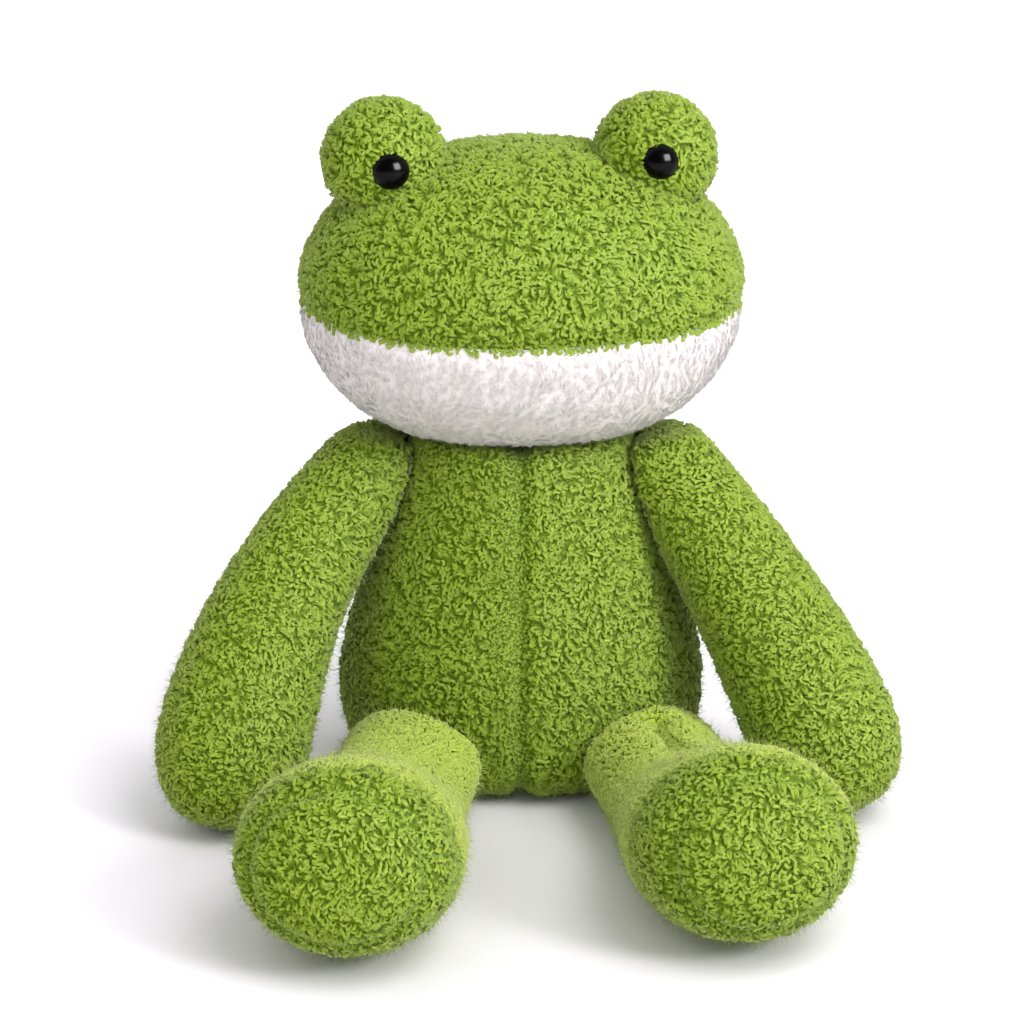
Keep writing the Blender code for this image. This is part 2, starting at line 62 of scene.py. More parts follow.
# Backing fabric under the pile
VOXEL = 0.0016
CLOSE_GAPS = 0.0013
PILE_DEPTH = 0.0022
SMOOTHING_PASSES = 14
NORMAL_PASSES = 4
SETTLING_PASSES = 2
TINY = 1e-12
WELD = 0.00001
BALL_ROUNDS = 20
OUTER_SHARE = 0.97
DOME_SUBDIVISIONS = 5
MOUTH_SEAM_DEPTH = 0.0017
FRONT_SEAM_DEPTH = 0.0034
SOLE_SEAM_DEPTH = 0.0023
SEAM_WIDTH = 0.0030
FOLD_DEPTH = 0.0060
FOLD_WIDTH = 0.0040
FLOOR_CLEARANCE = 0.0002

# How deep in another form pile is left out
HIDDEN_DEPTH = 0.002
CROWN_IN_BODY = 0.004
BODY_IN_HEAD = 0.003

# Shorter and pulled pile by the seams, folds and eyes, and painted shade on the pile in the seams and folds: the
# greatest change and its width
SEAM_SHORT = (0.42, 0.0024)
PAINTED_SEAM_SHADE = (0.58, 0.0018)
PAINTED_FOLD_SHADE = (0.40, 0.0030)
MOUTH_SHORT = (0.40, 0.0040)
MOUTH_PULL = (0.6, 0.003)
RIM_PULL = (1.2, 0.0020)

# Borders of the regions: how far past the seam or plane that bounds them they start or end
GREEN_PAST_MOUTH = 0.0006
WHITE_PAST_MOUTH = 0.0003
CROWN_PAST_NECK = 0.003
MUZZLE_PAST_NECK = 0.002
PILE_UNDER_RIM = 0.0006
THIGH_WAVE = 0.004
BAND_WAVE = 0.75
BAND_FACING = -0.2

# Lines along which the backing folds: one over the left thigh, where the leg bends
FOLDS = {"left": (((0.0476, -0.0572, 0.0389), (0.0506, -0.0741, 0.0390), (0.0548, -0.0910, 0.0400)),), "right": ()}

# Noise fields: the size of their swirls and their seed
WIDE_LEAN = (0.020, 5.0)
FINE_LEAN = (0.006, 7.0)
HEIGHT_FIELD = (0.010, 9.0)
SHADE_FIELD = (0.035, 3.0)
THIGH_BORDER = (0.008, 12.0)
BAND_BORDER = (0.012, 14.0)
TUFT_LEAN = (0.008, 8.0)
TUFT_RELIEF = (0.0045, 15.0)
TUFT_SHADES = (0.010, 6.0)

# Starts of the random draws of each region
SEEDS = {
    "crown": 11,
    "eye_dome_left": 21,
    "eye_dome_right": 22,
    "arm_left": 31,
    "arm_right": 32,
    "foot_left": 41,
    "foot_right": 42,
    "thigh_left": 43,
    "thigh_right": 44,
    "body": 51,
    "band": 52,
    "muzzle": 61,
}

# Yarn loops of the green pile. A loop's profile is its place across, its rise and its fullness, foot to foot.
LOOP_SPACING = 0.00110
LOOP_HEIGHT = 0.0017
LOOP_HALF_WIDTH = 0.00058
LOOP_PROFILE = (
    (-0.50, 0.0, 0.80),
    (-1.00, 0.45, 0.95),
    (-0.76, 0.84, 1.05),
    (0.0, 1.0, 1.05),
    (0.76, 0.84, 1.05),
    (1.00, 0.45, 0.95),
    (0.50, 0.0, 0.80),
)
YARN_RADIUS = 0.00045
PILE_SOFTNESS = 0.66
# How much the sides of each yarn take the darker colours of its root: painted shade on the sides
PAINTED_SIDE_SHADE = 0.28
LOOPS_PER_PIECE = 4600
LARGE_LOOP = 1.2
LOOP_HEIGHTS = (0.90, 1.10)
LOOP_WAVE = 0.12
LOOP_WIDTHS = (0.65, 1.35)
LOOP_RADII = (0.85, 1.15)
LOOP_DROOPS = (0.10, 0.50)
LOOP_SIDE_DROOP = 0.15
LOOP_TWISTS = (-0.6, 0.6)
LOOP_SHADE = 0.5
LOOP_SHADE_WAVE = 0.16
LOOP_SHADE_CHANCE = 0.15
PIECE_SLANT = 0.3

# How pile leans: its shares of down, of swirls and of chance, and the range of its angle
LOOP_LEAN = (0.25, 0.80, 0.35, (0.60, 1.30))
FIBRE_LEAN = (0.2, 0.6, 0.9, (0.05, 0.85))
WEAK_LEAN = 0.4

# Spreading of roots
TRIES_PER_PLACE = 4

# Sizes of the loops by region, and how much painted shade darkens a region more than the rest
CROWN_SIZE, CROWN_PAINTED_SHADE = 1.25, 0.22
DOME_SIZE, DOME_PAINTED_SHADE = 1.21, 0.08
FOOT_SIZE, FOOT_PAINTED_SHADE = 1.17, 0.05
ARM_SIZE = 1.12
BODY_SIZE = 1.16
THIGH_SIZE = 0.96
BAND_SIZE = 0.84
THIGH_START = 0.012
BAND_WIDTH = 0.0105

# Clumps that the loops gather in, with painted shade on the loops at the edges of clumps, and the tints of loops and
# strands
CLUMP_SPACING = 0.0044
CLUMP_PULL = 0.45
CLUMP_REACH = 0.75
CLUMP_TOP, CLUMP_SHORT = 1.08, 0.26
PAINTED_CLUMP_SHADE = 0.12
TINTS = 64
CELL_MARGIN = 0.04
UV_MARGIN = 0.01

# Strands of the white pile, in tufts. A profile is the share of the length and of the width there.
STRAND_SPACING = 0.00078
STRAND_LENGTH = 0.0027
STRAND_LENGTHS = (0.8, 1.2)
STRAND_WIDTH = 0.00046
STRAND_WIDTHS = (0.6, 1.5)
STRAND_FLATNESS = 0.6
STRAND_PROFILE = ((0.0, 0.75), (0.34, 1.0), (0.7, 0.65), (1.0, 0.05))
STRAND_SOFTNESS = 0.86
STRAND_ANGLES = (0.95, 1.25)
STRAND_DOWN, STRAND_SWIRL, STRAND_CHANCE = 0.7, 1.1, 0.25
STRAND_DROOP, STRAND_SINK = 0.20, 0.14
STRANDS_PER_PIECE = 10000
TUFT_SPACING = 0.0027
TUFT_PULL = 0.9
TUFT_HEIGHT = 0.20
TUFT_TOP, TUFT_SHORT = 1.05, 0.14
# Tints of the white strands, and the painted shade on strands at the edges of tufts
WHITE_SHADE, WHITE_WAVE, WHITE_CHANCE, PAINTED_TUFT_SHADE = 0.66, 0.25, 0.10, 0.10

# Loose fibres
FIBRES_PER_ROOT = 0.8
FIBRES_PER_NAP_ROOT = 0.4
FIBRE_LENGTH = 0.0044
FIBRE_LENGTHS = (0.7, 1.2)
FIBRE_WIDTH = 0.00014
FIBRE_WIDTHS = (0.7, 1.3)
FIBRE_DROOP = 0.35
FIBRE_PROFILE = ((0.0, 1.0), (0.55, 0.8), (1.0, 0.1))
FIBRES_PER_PIECE = 15000
DARKEST_FIBRE = TINTS // 3


# Meshes


def mesh_object(name, points, faces, corners_uv=None, normals=None):
    """A smooth-shaded object from arrays of points and of faces that all have as many corners."""
    mesh = bpy.data.meshes.new(name)
    sides = faces.shape[1]
    mesh.vertices.add(len(points))
    mesh.vertices.foreach_set("co", np.ascontiguousarray(points, dtype=np.float32).ravel())
    mesh.loops.add(faces.size)
    mesh.loops.foreach_set("vertex_index", np.ascontiguousarray(faces, dtype=np.int32).ravel())
    mesh.polygons.add(len(faces))
    mesh.polygons.foreach_set("loop_start", np.arange(0, faces.size, sides, dtype=np.int32))
    mesh.polygons.foreach_set("use_smooth", np.ones(len(faces), dtype=bool))
    if corners_uv is not None:
        layer = mesh.uv_layers.new(name="OFBake")
        layer.data.foreach_set("uv", np.ascontiguousarray(corners_uv, dtype=np.float32).ravel())
    mesh.update(calc_edges=True)
    if normals is not None:
        mesh.normals_split_custom_set_from_vertices(np.ascontiguousarray(normals, dtype=np.float32))
    obj = bpy.data.objects.new(name, mesh)
    bpy.context.scene.collection.objects.link(obj)
    return obj


def arrays_of(mesh):
    """The points of a mesh, its triangles and the normals of its points."""
    points = np.empty(len(mesh.vertices) * 3, dtype=np.float32)
    mesh.vertices.foreach_get("co", points)
    mesh.calc_loop_triangles()
    triangles = np.empty(len(mesh.loop_triangles) * 3, dtype=np.int32)
    mesh.loop_triangles.foreach_get("vertices", triangles)
    normals = np.empty(len(mesh.vertices) * 3, dtype=np.float32)
    mesh.vertex_normals.foreach_get("vector", normals)
    return points.reshape(-1, 3).astype(float), triangles.reshape(-1, 3), normals.reshape(-1, 3).astype(float)


def unit(vectors):
    return vectors / np.maximum(np.linalg.norm(vectors, axis=-1, keepdims=True), TINY)


def falloff(distance, most, width):
    """A value that is greatest at no distance and falls off smoothly over this width."""
    return most * np.exp(-((distance / width) ** 2))


def between(rng, count, ends):
    low, high = ends
    return low + (high - low) * rng.random(count)


def tree_of(*nodes):
    """A search tree over the surfaces of these nodes."""
    points, faces = [], []
    for name in nodes:
        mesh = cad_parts[name].data
        start = len(points)
        points += [tuple(vertex.co) for vertex in mesh.vertices]
        faces += [[start + index for index in polygon.vertices] for polygon in mesh.polygons]
    return BVHTree.FromPolygons(points, faces)


def distances(tree, points):
    return np.array([tree.find_nearest(Vector(point))[3] for point in points])


def welded(name):
    """A node's mesh as a bmesh with its split corners joined again."""
    bm = bmesh.new()
    bm.from_mesh(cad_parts[name].data)
    bmesh.ops.remove_doubles(bm, verts=bm.verts, dist=WELD)
    bmesh.ops.recalc_face_normals(bm, faces=bm.faces)
    return bm


def neighbour_average(values, edges, counts):
    total = np.zeros_like(values)
    np.add.at(total, edges[:, 0], values[edges[:, 1]])
    np.add.at(total, edges[:, 1], values[edges[:, 0]])
    return total / counts[:, None]


def smoothed(values, edges, passes, share=0.5):
    counts = np.bincount(edges.ravel(), minlength=len(values)).astype(float)
    for _ in range(passes):
        values = values + (neighbour_average(values, edges, counts) - values) * share
    return values


def largest_part(mesh):
    """Removes all but the largest connected part of a mesh."""
    bm = bmesh.new()
    bm.from_mesh(mesh)
    unseen = set(bm.verts)
    best = set()
    while unseen:
        start = unseen.pop()
        part = {start}
        stack = [start]
        while stack:
            vertex = stack.pop()
            for edge in vertex.link_edges:
                other = edge.other_vert(vertex)
                if other in unseen:
                    unseen.discard(other)
                    part.add(other)
                    stack.append(other)
        if len(part) > len(best):
            best = part
    bmesh.ops.delete(bm, geom=[vertex for vertex in bm.verts if vertex not in best], context="VERTS")
    bm.to_mesh(mesh)
    bm.free()


class Skin:
    """A stuffed form's backing fabric, with the arrays that the pile is spread with."""

    def __init__(self, obj, folds=()):
        self.obj = obj
        self.points, self.triangles, self.normals = arrays_of(obj.data)
        self.folds = folds


def line_distances(line, points):
    """How far each point lies from a bent line."""
    best = np.full(len(points), np.inf)
    for first, second in zip(np.array(line), np.array(line)[1:]):
        along = second - first
        share = np.clip((points - first) @ along / (along @ along), 0, 1)
        best = np.minimum(best, np.linalg.norm(points - first - share[:, None] * along, axis=1))
    return best


def one_source(covers, fillings):
    """One object of these covers and of their fillings, which are swollen to close the gaps between them."""
    whole = bmesh.new()
    for node in (*covers, *fillings):
        bm = welded(node)
        reach = CLOSE_GAPS if node in fillings else 0.0
        bm.normal_update()
        for vertex in bm.verts:
            vertex.co += vertex.normal * reach
        piece = bpy.data.meshes.new("piece")
        bm.to_mesh(piece)
        bm.free()
        whole.from_mesh(piece)
        bpy.data.meshes.remove(piece)
    mesh = bpy.data.meshes.new("source")
    whole.to_mesh(mesh)
    whole.free()
    source = bpy.data.objects.new("source", mesh)
    bpy.context.scene.collection.objects.link(source)
    return source


def stuffed_skin(name, covers, fillings, seam=None, seam_depth=0.0, folds=()):
    """One closed smooth form round these covers and fillings, a pile's depth inside the outer surface."""
    source = one_source(covers, fillings)
    remesh = source.modifiers.new("voxels", "REMESH")
    remesh.mode = "VOXEL"
    remesh.voxel_size = VOXEL
    bpy.context.view_layer.update()
    solid = bpy.data.meshes.new_from_object(source.evaluated_get(bpy.context.evaluated_depsgraph_get()))
    bpy.data.objects.remove(source, do_unlink=True)
    largest_part(solid)
    edges = np.empty(len(solid.edges) * 2, dtype=np.int32)
    solid.edges.foreach_get("vertices", edges)
    edges = edges.reshape(-1, 2)
    points, _, _ = arrays_of(solid)
    outer = smoothed(points, edges, SMOOTHING_PASSES)
    solid.vertices.foreach_set("co", outer.astype(np.float32).ravel())
    solid.update()
    _, _, normals = arrays_of(solid)
    normals = unit(smoothed(normals, edges, NORMAL_PASSES))
    depth = np.full(len(outer), PILE_DEPTH)
    if seam is not None:
        away = distances(tree_of(seam[0]), outer) - distances(tree_of(seam[1]), outer)
        depth += falloff(away, seam_depth, SEAM_WIDTH)
    for line in folds:
        depth += falloff(line_distances(line, outer), FOLD_DEPTH, FOLD_WIDTH)
    inner = smoothed(outer - normals * depth[:, None], edges, SETTLING_PASSES)
    solid.vertices.foreach_set("co", inner.astype(np.float32).ravel())
    for polygon in solid.polygons:
        polygon.use_smooth = True
    solid.update()
    solid.name = name
    obj = bpy.data.objects.new(name, solid)
    bpy.context.scene.collection.objects.link(obj)
    return Skin(obj, folds)


def fitted_ball(node):
    """The centre and radius of the ball that a dome was cut from, from its outermost points."""
    bm = welded(node)
    points = np.array([tuple(vertex.co) for vertex in bm.verts])
    bm.free()
    low, high = (np.array(corner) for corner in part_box(node))
    radius = (high[0] - low[0]) / 2
    centre = np.array(((low[0] + high[0]) / 2, (low[1] + high[1]) / 2, high[2] - radius))
    for _ in range(BALL_ROUNDS):
        away = np.linalg.norm(points - centre, axis=1)
        outer = points[away > radius * OUTER_SHARE]
        system = np.hstack([2 * outer, np.ones((len(outer), 1))])
        answer = np.linalg.lstsq(system, (outer**2).sum(axis=1), rcond=None)[0]
        centre = answer[:3]
        radius = math.sqrt(answer[3] + (centre**2).sum())
    return centre, radius


def dome_skin(name, node):
    centre, radius = fitted_ball(node)
    bm = bmesh.new()
    bmesh.ops.create_icosphere(bm, subdivisions=DOME_SUBDIVISIONS, radius=radius - PILE_DEPTH)
    bmesh.ops.translate(bm, verts=bm.verts, vec=centre)
    mesh = bpy.data.meshes.new(name)
    bm.to_mesh(mesh)
    bm.free()
    mesh.shade_smooth()
    obj = bpy.data.objects.new(name, mesh)
    bpy.context.scene.collection.objects.link(obj)
    skin = Skin(obj)
    skin.centre = centre
    return skin


# Spreading roots over a skin


def close_pairs(points, reach):
    """The pairs of points nearer to each other than this, as indices of the later and of the earlier point."""
    cells = np.floor(points / reach).astype(np.int64)
    cells -= cells.min(axis=0) - 1
    span = cells.max(axis=0) + 2
    keys = (cells[:, 0] * span[1] + cells[:, 1]) * span[2] + cells[:, 2]
    order = np.argsort(keys, kind="stable")
    ranked = keys[order]
    later, earlier = [], []
    for x in (-1, 0, 1):
        for y in (-1, 0, 1):
            for z in (-1, 0, 1):
                wanted = ranked + (x * span[1] + y) * span[2] + z
                start = np.searchsorted(ranked, wanted, "left")
                counts = np.searchsorted(ranked, wanted, "right") - start
                first = np.repeat(order, counts)
                place = np.arange(len(first)) - np.repeat(np.cumsum(counts) - counts, counts)
                second = order[np.repeat(start, counts) + place]
                close = (first > second) & (((points[first] - points[second]) ** 2).sum(axis=1) < reach**2)
                later.append(first[close])
                earlier.append(second[close])
    return np.concatenate(later), np.concatenate(earlier)


def scatter(skin, spacing, rng):
    """Evenly spread points on a skin, no two nearer than the spacing, with their normals."""
    corners = skin.points[skin.triangles]
    first, second = corners[:, 1] - corners[:, 0], corners[:, 2] - corners[:, 0]
    areas = np.linalg.norm(np.cross(first, second), axis=1) / 2
    tries = int(areas.sum() / spacing**2 * TRIES_PER_PLACE)
    chosen = np.searchsorted(np.cumsum(areas) / areas.sum(), rng.random(tries))
    chosen = np.minimum(chosen, len(areas) - 1)
    first, second = rng.random(tries), rng.random(tries)
    over = first + second > 1
    first[over], second[over] = 1 - first[over], 1 - second[over]
    shares = np.stack([1 - first - second, first, second], axis=1)[:, :, None]
    points = (corners[chosen] * shares).sum(axis=1)
    normals = unit((skin.normals[skin.triangles][chosen] * shares).sum(axis=1))
    later, earlier = close_pairs(points, spacing)
    undecided = np.ones(tries, dtype=bool)
    kept = np.zeros(tries, dtype=bool)
    while undecided.any():
        blocked = np.zeros(tries, dtype=bool)
        blocked[later[undecided[earlier]]] = True
        chosen = undecided & ~blocked
        kept |= chosen
        undecided &= ~chosen
        undecided[later[chosen[earlier]]] = False
    return points[kept], normals[kept]


def inside_of(tree, points, depth):
    """Which points lie deeper than this inside a closed skin."""
    result = np.zeros(len(points), dtype=bool)
    for index, point in enumerate(points):
        place, normal, _, distance = tree.find_nearest(Vector(point))
        result[index] = (Vector(point) - place).dot(normal) < 0 and distance > depth
    return result


def swirl(points, scale, seed):
    """A smooth field of directions, with swirls of about this size."""
    shift = Vector((seed, 2 * seed, 3 * seed))
    return np.array([tuple(noise.noise_vector(Vector(point) / scale + shift)) for point in points])


def rough(points, scale, seed):
    """A smooth field of values between about -1 and 1."""
    shift = Vector((seed, -seed, seed))
    return np.array([noise.noise(Vector(point) / scale + shift) for point in points])


# Pile


def tube_quads(count, stations, sides, order):
    """Quads of this many tubes, their corners in this order, and the place round the tube of each corner."""
    step = np.arange(stations - 1)[:, None]
    side = np.arange(sides)[None, :]
    one = step * sides + side
    two = step * sides + (side + 1) % sides
    quads = np.stack([one, one + sides, two + sides, two], axis=-1)[..., order].reshape(-1, 4)
    faces = (np.arange(count)[:, None, None] * stations * sides + quads[None]).reshape(-1, 4)
    low = (side + 0 * step) / sides
    high = (side + 1 + 0 * step) / sides
    return quads, faces, np.stack([low, low, high, high], axis=-1)[..., order].reshape(-1)


def tube_uv(quads, round_tube, cells, rise, facing):
    """UV corners: across, the tint's column and the place round the tube; up, the rise, lowered at the sides to
    paint shade there.
    """
    u = (cells[:, None] + CELL_MARGIN + (1 - 2 * CELL_MARGIN) * round_tube[None]) / TINTS
    # Painted shade: the sides of the yarn take the darker colours of the root
    height = rise[None, :, None] * (1 - PAINTED_SIDE_SHADE + PAINTED_SIDE_SHADE * facing)
    v = UV_MARGIN + (1 - 2 * UV_MARGIN) * height.reshape(len(cells), -1)[:, quads.ravel()]
    return np.stack([u, v], axis=-1).reshape(-1, 2)


def yarn_loops(roots, normals, leans, flats, heights, half_widths, radii, droops, twists, cells, sides):
    """Points, quads, UV corners and shading normals of one bent tube of yarn at each root."""
    across, rise, full = np.array(LOOP_PROFILE).T
    slope_across = np.gradient(across) * LOOP_HALF_WIDTH
    slope_rise = np.gradient(rise) * LOOP_HEIGHT
    length = np.hypot(slope_across, slope_rise)
    out_across, out_rise = -slope_rise / length, slope_across / length
    third = np.cross(leans, flats)
    turn = 2 * np.pi * (np.arange(sides) + 0.5) / sides
    twist = twists[:, None] * rise[None, :]
    wide = flats[:, None] * np.cos(twist)[:, :, None] + third[:, None] * np.sin(twist)[:, :, None]
    deep = third[:, None] * np.cos(twist)[:, :, None] - flats[:, None] * np.sin(twist)[:, :, None]
    line = (
        roots[:, None]
        + wide * (across[None, :, None] * half_widths[:, None, None])
        + leans[:, None] * (rise[None, :, None] * heights[:, None, None])
        + droops[:, None] * (rise[None, :, None] ** 2 * heights[:, None, None])
    )
    outward = wide * out_across[None, :, None] + leans[:, None] * out_rise[None, :, None]
    ring = (
        outward[:, :, None] * np.cos(turn)[None, None, :, None]
        + deep[:, :, None] * np.sin(turn)[None, None, :, None]
    )
    shading = unit(ring * (1 - PILE_SOFTNESS) + normals[:, None, None] * PILE_SOFTNESS)
    points = line[:, :, None] + ring * (radii[:, None, None, None] * full[None, :, None, None])
    facing = np.clip((ring * normals[:, None, None]).sum(axis=-1), 0, 1)
    quads, faces, round_tube = tube_quads(len(roots), len(rise), sides, [0, 1, 2, 3])
    corners = tube_uv(quads, round_tube, cells, rise, facing)
    return points.reshape(-1, 3), faces, corners, shading.reshape(-1, 3)


def strands(roots, normals, leans, flats, lengths, widths, droops, cells, profile, flatness):
    """Points, quads, UV corners and shading normals of one three-sided strand at each root."""
    sides = 3
    share, width = np.array(profile).T
    third = np.cross(leans, flats)
    turn = 2 * np.pi * (np.arange(sides) + 0.5) / sides
    line = (
        roots[:, None]
        + leans[:, None] * (share[None, :, None] * lengths[:, None, None])
        + droops[:, None] * (share[None, :, None] ** 2 * lengths[:, None, None])
    )
    ring = (
        flats[:, None, None] * np.cos(turn)[None, None, :, None]
        + third[:, None, None] * flatness * np.sin(turn)[None, None, :, None]
    )
    points = line[:, :, None] + ring * (widths[:, None, None, None] / 2 * width[None, :, None, None])
    rounded = ring + (share[None, :, None, None] ** 4) * leans[:, None, None]
    shading = unit(rounded * (1 - STRAND_SOFTNESS) + normals[:, None, None] * STRAND_SOFTNESS)
    facing = np.clip((rounded * normals[:, None, None]).sum(axis=-1), 0, 1)
    quads, faces, round_tube = tube_quads(len(roots), len(share), sides, [0, 3, 2, 1])
    corners = tube_uv(quads, round_tube, cells, share, facing)
    return points.reshape(-1, 3), faces, corners, shading.reshape(-1, 3)


def clumps(skin, roots, rng, spacing):
    """The way from each root to the middle of its clump, and how far out in the clump it stands, up to 1."""
    middles, _ = scatter(skin, spacing, rng)
    tree = KDTree(len(middles))
    for index, middle in enumerate(middles):
        tree.insert(middle, index)
    tree.balance()
    nearest = np.array([tree.find(root)[1] for root in roots])
    way = middles[nearest] - roots
    out = np.minimum(np.linalg.norm(way, axis=1) / (spacing * CLUMP_REACH), 1.0)
    return unit(way), out


def square_to(directions, rng):
    """A random direction square to each of these."""
    random = unit(rng.normal(size=directions.shape))
    return unit(random - directions * (random * directions).sum(axis=1, keepdims=True))


def tangential(vectors, normals):
    return vectors - normals * (vectors * normals).sum(axis=1, keepdims=True)


def lean_directions(roots, normals, rng, lean, pull=0.0):
    """Directions that lean from the surface: partly down, partly in swirls and partly at random."""
    down_share, swirl_share, loose_share, angles = lean
    tangent = swirl(roots, *WIDE_LEAN) * swirl_share + DOWN * down_share + pull
    tangent = tangent + swirl(roots, *FINE_LEAN) * swirl_share
    tangent = tangential(tangent + rng.normal(size=roots.shape) * loose_share, normals)
    strength = np.linalg.norm(tangent, axis=1, keepdims=True)
    tangent = unit(tangent)
    angle = between(rng, len(roots), angles)[:, None] * np.minimum(1, WEAK_LEAN + strength)
    return normals * np.cos(angle) + tangent * np.sin(angle), tangent


def tint_cells(shade):
    return np.clip((shade * TINTS).astype(int), 0, TINTS - 1)


def on_the_floor(points):
    """Lifts what would reach through the floor to just above it."""
    points[:, 2] = np.maximum(points[:, 2], FLOOR_CLEARANCE)
    return points


def add_piece(name, made, material, body):
    """A piece of pile from points, faces, UV corners and shading normals, riding on a body."""
    points, faces, corners, shading = made
    obj = mesh_object(name, on_the_floor(points), faces, corners, shading)
    obj.data.materials.append(materials[material])
    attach(obj, body)


def add_green_pile(name, body, roots, normals, rng, size, kind, short, pull, painted_shade):
    """Loops of yarn at these roots, in pieces of a limited number of loops."""
    leans, tangent = lean_directions(roots, normals, rng, LOOP_LEAN, pull)
    flats = square_to(leans, rng)
    count = len(roots)
    wave = 1 + LOOP_WAVE * rough(roots, *HEIGHT_FIELD)
    heights = LOOP_HEIGHT * size * between(rng, count, LOOP_HEIGHTS) * wave * short
    half_widths = LOOP_HALF_WIDTH * size * between(rng, count, LOOP_WIDTHS)
    radii = YARN_RADIUS * size * between(rng, count, LOOP_RADII)
    droops = tangent * between(rng, count, LOOP_DROOPS)[:, None] + square_to(leans, rng) * LOOP_SIDE_DROOP
    twists = between(rng, count, LOOP_TWISTS)
    shade = LOOP_SHADE + LOOP_SHADE_WAVE * rough(roots, *SHADE_FIELD)
    # Painted shade lowers the tint of loops at the edges of clumps, by seams and folds, and in darker regions
    cells = tint_cells(shade + LOOP_SHADE_CHANCE * rng.normal(size=count) - painted_shade)
    sides = 4 if size > LARGE_LOOP else 3
    order = np.argsort(roots[:, 0] + PIECE_SLANT * roots[:, 1], kind="stable")
    for number, part in enumerate(np.array_split(order, math.ceil(count / LOOPS_PER_PIECE)), start=1):
        made = yarn_loops(
            roots[part], normals[part], leans[part], flats[part], heights[part], half_widths[part], radii[part],
            droops[part], twists[part], cells[part], sides
        )
        add_piece(f"{name}_pile_{number}", made, kind, body)


def add_fibres(name, body, roots, normals, rng, kind):
    """Fine loose fibres that stand a little proud of the pile."""
    leans, _ = lean_directions(roots, normals, rng, FIBRE_LEAN)
    count = len(roots)
    lengths = FIBRE_LENGTH * between(rng, count, FIBRE_LENGTHS)
    widths = FIBRE_WIDTH * between(rng, count, FIBRE_WIDTHS)
    droops = square_to(leans, rng) * FIBRE_DROOP
    cells = rng.integers(DARKEST_FIBRE, TINTS, count)
    flats = square_to(leans, rng)
    order = np.argsort(roots[:, 0], kind="stable")
    for number, part in enumerate(np.array_split(order, math.ceil(count / FIBRES_PER_PIECE)), start=1):
        made = strands(
            roots[part], normals[part], leans[part], flats[part], lengths[part], widths[part], droops[part],
            cells[part], FIBRE_PROFILE, 1.0
        )
        add_piece(f"{name}_fibres_{number}", made, kind, body)


# Materials


YARN_SPECULAR = 0.14
YARN_BUMP = {"Strength": 0.5, "Distance": 0.0002}
STREAKS_ACROSS, STREAKS_ALONG = 12.0, 2.2
STREAK_DETAIL = 2.0
SHEEN_ROUGHNESS = 0.5
LOOP_FEET_SCALE = 620
BEAD_GRAIN = 350
BEAD_ROUGHNESS = (0.16, 0.19)
WASHER_GRAIN = 600

GREEN_TINTS = ((0.80, 0.86, 0.70), (1.16, 1.10, 1.35))
GREEN_SHEEN = (0.92, 1.0, 0.60)

# Colours from root to tip, darkest and lightest tint, strength of the streaks, roughness, sheen and its tint. The
# darker roots are painted shade deep in the pile.
YARNS = {
    "green_pile": (
        [(0.0, (0.145, 0.232, 0.003)), (0.45, (0.235, 0.345, 0.008)), (1.0, (0.31, 0.415, 0.055))],
        GREEN_TINTS, 0.22, 0.66, 0.32, GREEN_SHEEN
    ),
    # The nap of the thighs, paler than the pile: painted light on the tops of the thighs
    "green_nap_painted_light": (
        [(0.0, (0.31, 0.43, 0.015)), (0.45, (0.40, 0.52, 0.036)), (1.0, (0.485, 0.60, 0.080))],
        GREEN_TINTS, 0.22, 0.66, 0.42, GREEN_SHEEN
    ),
    "white_pile": (
        [(0.0, (0.78, 0.728, 0.711)), (0.35, (0.805, 0.754, 0.738)), (1.0, (0.80, 0.751, 0.738))],
        ((0.93, 0.92, 0.92), (1.04, 1.04, 1.04)), 0.05, 0.8, 0.25, (1.0, 1.0, 1.0)
    ),
}

# Dark and light colour, and depth of the relief. The green backing's dark colours are painted shade of the deep gaps
# in the pile.
BACKINGS = {
    "green_backing_painted_shade": ((0.10, 0.17, 0.002), (0.20, 0.30, 0.006), 0.0012),
    "white_backing": ((0.78, 0.727, 0.73), (0.81, 0.757, 0.76), 0.0001),
}


def feed(tree, socket, value):
    """Gives an input a number, a vector, a colour or the output of another node."""
    if isinstance(value, bpy.types.NodeSocket):
        tree.links.new(value, socket)
    elif isinstance(value, tuple):
        socket.default_value = value + (1,) * (len(socket.default_value) - len(value))
    else:
        socket.default_value = value


def add_node(tree, kind, inputs):
    """A node with its inputs fed by name or number."""
    node = tree.nodes.new("ShaderNode" + kind)
    for key, value in inputs.items():
        feed(tree, node.inputs[key], value)
    return node


def node_material(name, roughness, specular=0.5):
    material = bpy.data.materials.new(name)
    material.use_nodes = True
    tree = material.node_tree
    shader = tree.nodes["Principled BSDF"]
    shader.inputs["Roughness"].default_value = roughness
    shader.inputs["Specular IOR Level"].default_value = specular
    return material, tree, shader


def ramp(tree, value, stops):
    node = add_node(tree, "ValToRGB", {"Fac": value})
    elements = node.color_ramp.elements
    while len(elements) < len(stops):
        elements.new(0.5)
    for element, (place, colour) in zip(elements, stops):
        element.position = place
        element.color = (*colour, 1)
    return node.outputs["Color"]


def math_node(tree, operation, first, second=None):
    inputs = {0: first} if second is None else {0: first, 1: second}
    node = add_node(tree, "Math", inputs)
    node.operation = operation
    return node.outputs[0]


def multiplied(tree, first, second):
    """The product of two colours."""
    node = tree.nodes.new("ShaderNodeMix")
    node.data_type = "RGBA"
    node.blend_type = "MULTIPLY"
    for key, value in ((0, 1.0), (6, first), (7, second)):
        feed(tree, node.inputs[key], value)
    return node.outputs[2]


def map_range(tree, value, source, target):
    """A value moved from one range to another and held at its ends."""
    inputs = {"From Min": source[0], "From Max": source[1], "To Min": target[0], "To Max": target[1]}
    return add_node(tree, "MapRange", {"Value": value} | inputs).outputs["Result"]


def coordinates(tree, kind):
    return tree.nodes.new("ShaderNodeTexCoord").outputs[kind]


